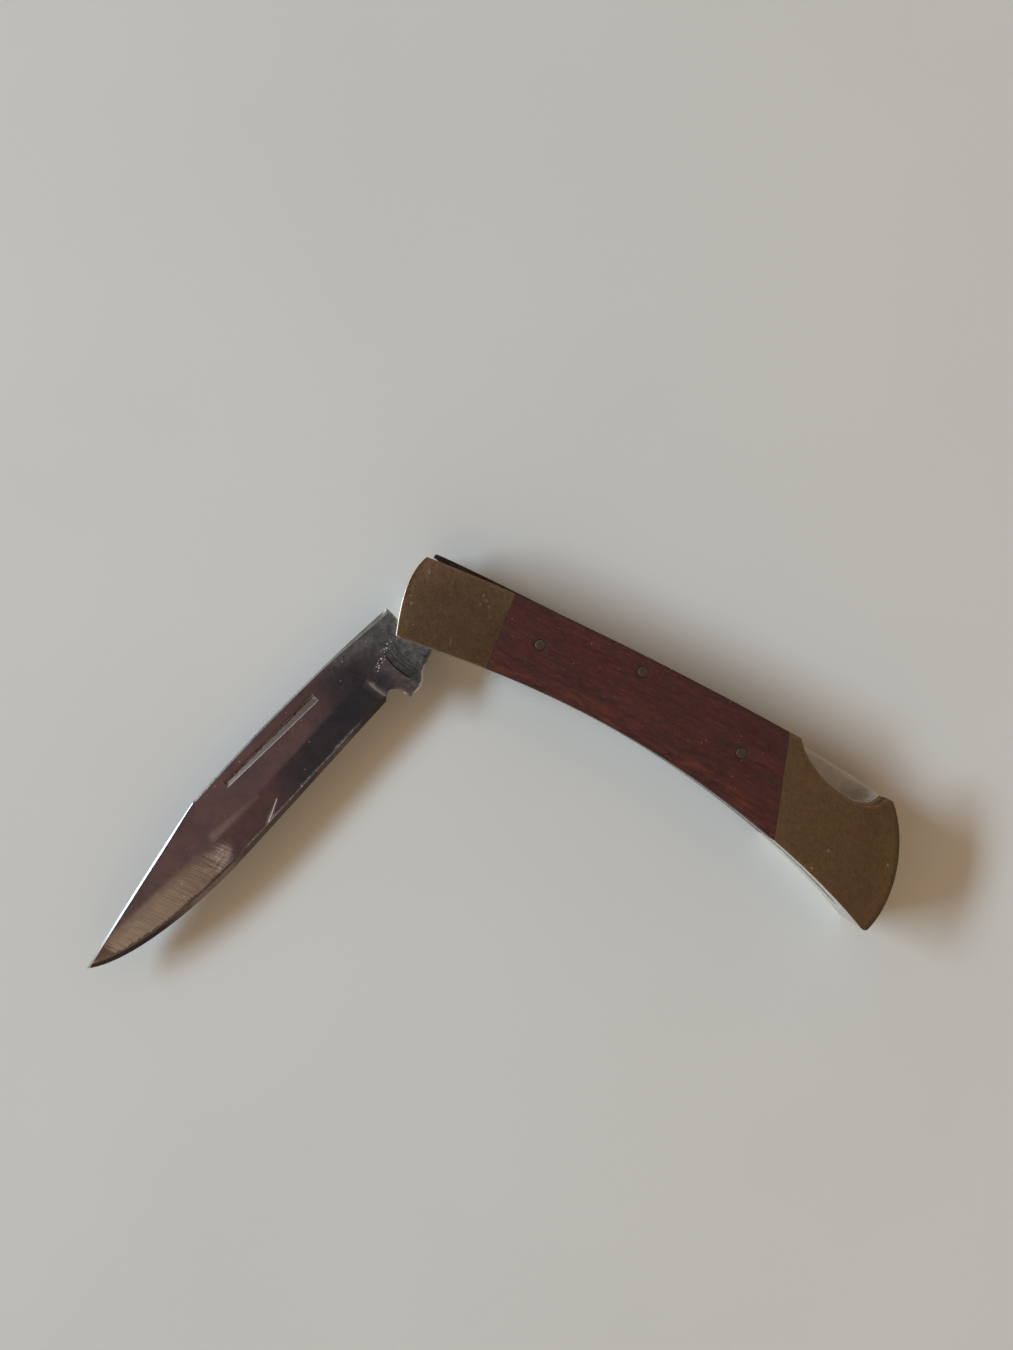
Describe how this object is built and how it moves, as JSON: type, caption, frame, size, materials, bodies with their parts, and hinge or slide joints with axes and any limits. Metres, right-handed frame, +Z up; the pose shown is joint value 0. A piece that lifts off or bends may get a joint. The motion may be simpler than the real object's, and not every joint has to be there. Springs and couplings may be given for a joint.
{
  "type": "folding pocket knife",
  "caption": "Folding pocket knife with a back lock: a clip-point blade that folds into a slim handle with brass bolsters and wooden scales.",
  "frame": {"origin": "on the surface that the knife lies on, under the middle of the whole knife's box with the blade part of the way open", "axes": "+Z up through the handle's thickness, out of the side that shows the nail nick; +X from the blade pivot along the handle to its rear end; +Y to the back of the handle, where the lock bar is"},
  "size_m": [0.1514, 0.1172, 0.0134],
  "materials": {
    "bolster_brass": "aged, hand-rubbed satin with fine scratches",
    "liner_brass": "satin, aged",
    "scale_wood": "dark red-brown hardwood, oiled and worn",
    "blade_steel": "polished, with fine scratches and a worn grind near the tip",
    "lock_steel": "darkened satin",
    "pin_brass": "peened flush and rubbed with the bolster",
    "pin_nickel": "nickel silver, peened flush with the wood"
  },
  "bodies": {
    "handle": {"liner_bottom": "liner_brass", "liner_top": "liner_brass", "front_bolster_bottom": "bolster_brass", "scale_bottom": "scale_wood", "rear_bolster_bottom": "bolster_brass", "front_bolster_top": "bolster_brass", "scale_top": "scale_wood", "rear_bolster_top": "bolster_brass", "rear_spacer": "liner_brass", "back_spring": "lock_steel", "pivot_pin": "pin_brass", "stop_pin": "pin_brass", "rocker_pin": "pin_nickel", "scale_pin_front": "pin_nickel", "scale_pin_rear": "pin_nickel", "spring_pin": "pin_brass", "spacer_pin_upper": "pin_brass", "spacer_pin_lower": "pin_brass"},
    "blade": {"blade": "blade_steel"},
    "lock_bar": {"lock_bar": "lock_steel"}
  },
  "joints": [
    {"name": "blade_pivot", "type": "hinge", "parent": "handle", "child": "blade", "pos_m": [-0.04023, 0.04562, 0.0067], "axis": [0, 0, -1], "range_deg": [-104, 71.9]},
    {"name": "lock_rock", "type": "hinge", "parent": "handle", "child": "lock_bar", "pos_m": [0.00497, 0.05502, 0.0067], "axis": [0, 0, -1], "range_deg": [0, 1.2], "stiffness_Nm_per_rad": 3, "springref_deg": -0.34}
  ]
}
